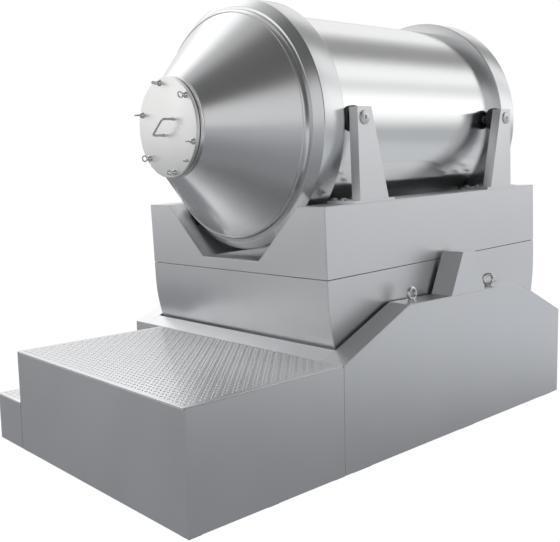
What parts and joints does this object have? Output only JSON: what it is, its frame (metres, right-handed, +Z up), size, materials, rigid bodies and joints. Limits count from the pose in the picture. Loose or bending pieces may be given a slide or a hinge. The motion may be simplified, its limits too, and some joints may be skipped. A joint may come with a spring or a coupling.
{
  "type": "two-dimensional motion mixer",
  "caption": "Conical-ended drum turning on rollers in a rocking trough frame, on a stainless base with an operator platform and step.",
  "frame": {"origin": "centre of the footprint on the floor", "axes": "+Z up, -Y towards the outlet end and its platform, +X to the machine's right, which is the retaining wheels' side"},
  "size_m": [1.66, 2.75, 2.2521],
  "materials": {
    "polished_drum": "mirror-polished stainless steel with faint lengthwise rolling streaks",
    "brushed_cone": "stainless steel brushed round the axis",
    "turned_ring": "turned stainless steel riding ring with a worn, shiny tread",
    "bright_cover": "finely polished stainless plate, nearly white",
    "satin_panel": "satin stainless sheet with a fine vertical grain",
    "deck_plate": "stainless chequer plate with small raised tears",
    "mill_steel": "grey primed structural steel",
    "polished_rod": "polished stainless rod and forged fittings",
    "dark_wheel": "dark polyurethane-tyred wheel",
    "roller_tyre": "black polyurethane roller tyre",
    "shaft_steel": "ground steel shaft",
    "cast_housing": "painted cast bearing housing and gearbox",
    "motor_paint": "grey-blue machine enamel",
    "fastener": "plain stainless fasteners",
    "seal": "white silicone gasket",
    "chain_steel": "oiled roller chain and sprockets"
  },
  "bodies": {
    "base": {"base_frame": "mill_steel", "anchor_pads": "mill_steel", "side_panel_left": "satin_panel", "side_panel_right": "satin_panel", "base_front_panel": "satin_panel", "base_rear_panel": "satin_panel", "ledge_strips": "satin_panel", "front_slope_panel": "satin_panel", "rear_slope_panel": "satin_panel", "platform_frame": "mill_steel", "platform_panels": "satin_panel", "step_panels": "satin_panel", "tread_plates": "deck_plate", "bearing_hood_left": "satin_panel", "bearing_hood_right": "satin_panel", "rock_bearings": "cast_housing", "bearing_bolts": "fastener", "lifting_eyebolts": "polished_rod", "rock_drive_stand": "mill_steel", "rock_reducer": "cast_housing", "rock_motor": "motor_paint"},
    "swing": {"swing_frame": "mill_steel", "lug_pin": "shaft_steel", "trunnion_shafts": "shaft_steel", "swing_end_panels": "satin_panel", "swing_side_panels": "satin_panel", "trough_pan": "satin_panel", "skirt_ends": "satin_panel", "skirt_sides": "satin_panel", "roller_stands": "mill_steel", "roller_bearings": "cast_housing", "front_bracket": "satin_panel", "rear_bracket": "satin_panel", "bracket_bolts": "fastener", "wheel_axles": "fastener", "drum_reducer": "cast_housing", "drum_motor": "motor_paint", "drive_chain": "chain_steel"},
    "drum": {"drum_cylinder": "polished_drum", "front_cone": "brushed_cone", "rear_head": "brushed_cone", "front_ring": "turned_ring", "rear_ring": "turned_ring", "outlet_flange": "turned_ring", "cover_studs": "fastener", "mixing_blades": "brushed_cone"},
    "cover": {"outlet_cover": "bright_cover", "cover_gasket": "seal", "cover_handle": "polished_rod", "eye_nuts": "polished_rod"},
    "drive_roller_set": {"drive_shaft": "shaft_steel", "drive_rollers": "roller_tyre", "shaft_sprocket": "chain_steel"},
    "idler_roller_set": {"idler_shaft": "shaft_steel", "idler_rollers": "roller_tyre"},
    "front_retaining_wheel": {"front_wheel": "dark_wheel"},
    "rear_retaining_wheel": {"rear_wheel": "dark_wheel"},
    "reducer_sprocket": {"motor_sprocket": "chain_steel"},
    "crank": {"crank_disc": "cast_housing"},
    "rod": {"connecting_rod": "cast_housing"}
  },
  "joints": [
    {"name": "rock", "type": "hinge", "parent": "base", "child": "swing", "pos_m": [0, 0.425, 0.8], "axis": [1, 0, 0], "range_deg": [-12, 8]},
    {"name": "drum_spin", "type": "hinge", "parent": "swing", "child": "drum", "pos_m": [0, 0.39691, 1.60451], "axis": [0, 0.9994, 0.0349], "continuous": true},
    {"name": "cover_slide", "type": "slide", "parent": "drum", "child": "cover", "axis": [0, -0.9994, -0.0349], "range_m": [0, 0.15]},
    {"name": "drive_shaft_spin", "type": "hinge", "parent": "swing", "child": "drive_roller_set", "pos_m": [-0.48849, 0.4149, 1.08916], "axis": [0, 0.9994, 0.0349], "continuous": true},
    {"name": "idler_shaft_spin", "type": "hinge", "parent": "swing", "child": "idler_roller_set", "pos_m": [0.48849, 0.4149, 1.08916], "axis": [0, 0.9994, 0.0349], "continuous": true},
    {"name": "reducer_sprocket_spin", "type": "hinge", "parent": "swing", "child": "reducer_sprocket", "pos_m": [-0.39544, 0.12751, 0.57948], "axis": [0, 0.9994, 0.0349], "continuous": true, "deforming": ["drive_chain"]},
    {"name": "front_wheel_spin", "type": "hinge", "parent": "swing", "child": "front_retaining_wheel", "pos_m": [0.608, -0.20743, 1.58341], "axis": [1, 0, 0], "continuous": true},
    {"name": "rear_wheel_spin", "type": "hinge", "parent": "swing", "child": "rear_retaining_wheel", "pos_m": [0.608, 1.00124, 1.62561], "axis": [1, 0, 0], "continuous": true},
    {"name": "crank_spin", "type": "hinge", "parent": "base", "child": "crank", "pos_m": [0.075, 0.875, 0.25], "axis": [1, 0, 0], "range_deg": [-108.5, 72.5]},
    {"name": "rod_swing", "type": "hinge", "parent": "swing", "child": "rod", "pos_m": [0.115, 0.87857, 0.70577], "axis": [1, 0, 0], "range_deg": [-10, 15]}
  ],
  "couplings": [
    {"joint": "drive_shaft_spin", "follows": "drum_spin", "ratio": -6.8889},
    {"joint": "idler_shaft_spin", "follows": "drum_spin", "ratio": -6.8889},
    {"joint": "reducer_sprocket_spin", "follows": "drum_spin", "ratio": -7.9487},
    {"joint": "front_wheel_spin", "follows": "drum_spin", "ratio": 10},
    {"joint": "rear_wheel_spin", "follows": "drum_spin", "ratio": -10},
    {"joint": "crank_spin", "follows": "rock", "ratio": 9},
    {"joint": "rod_swing", "follows": "rock", "ratio": -1.2}
  ]
}
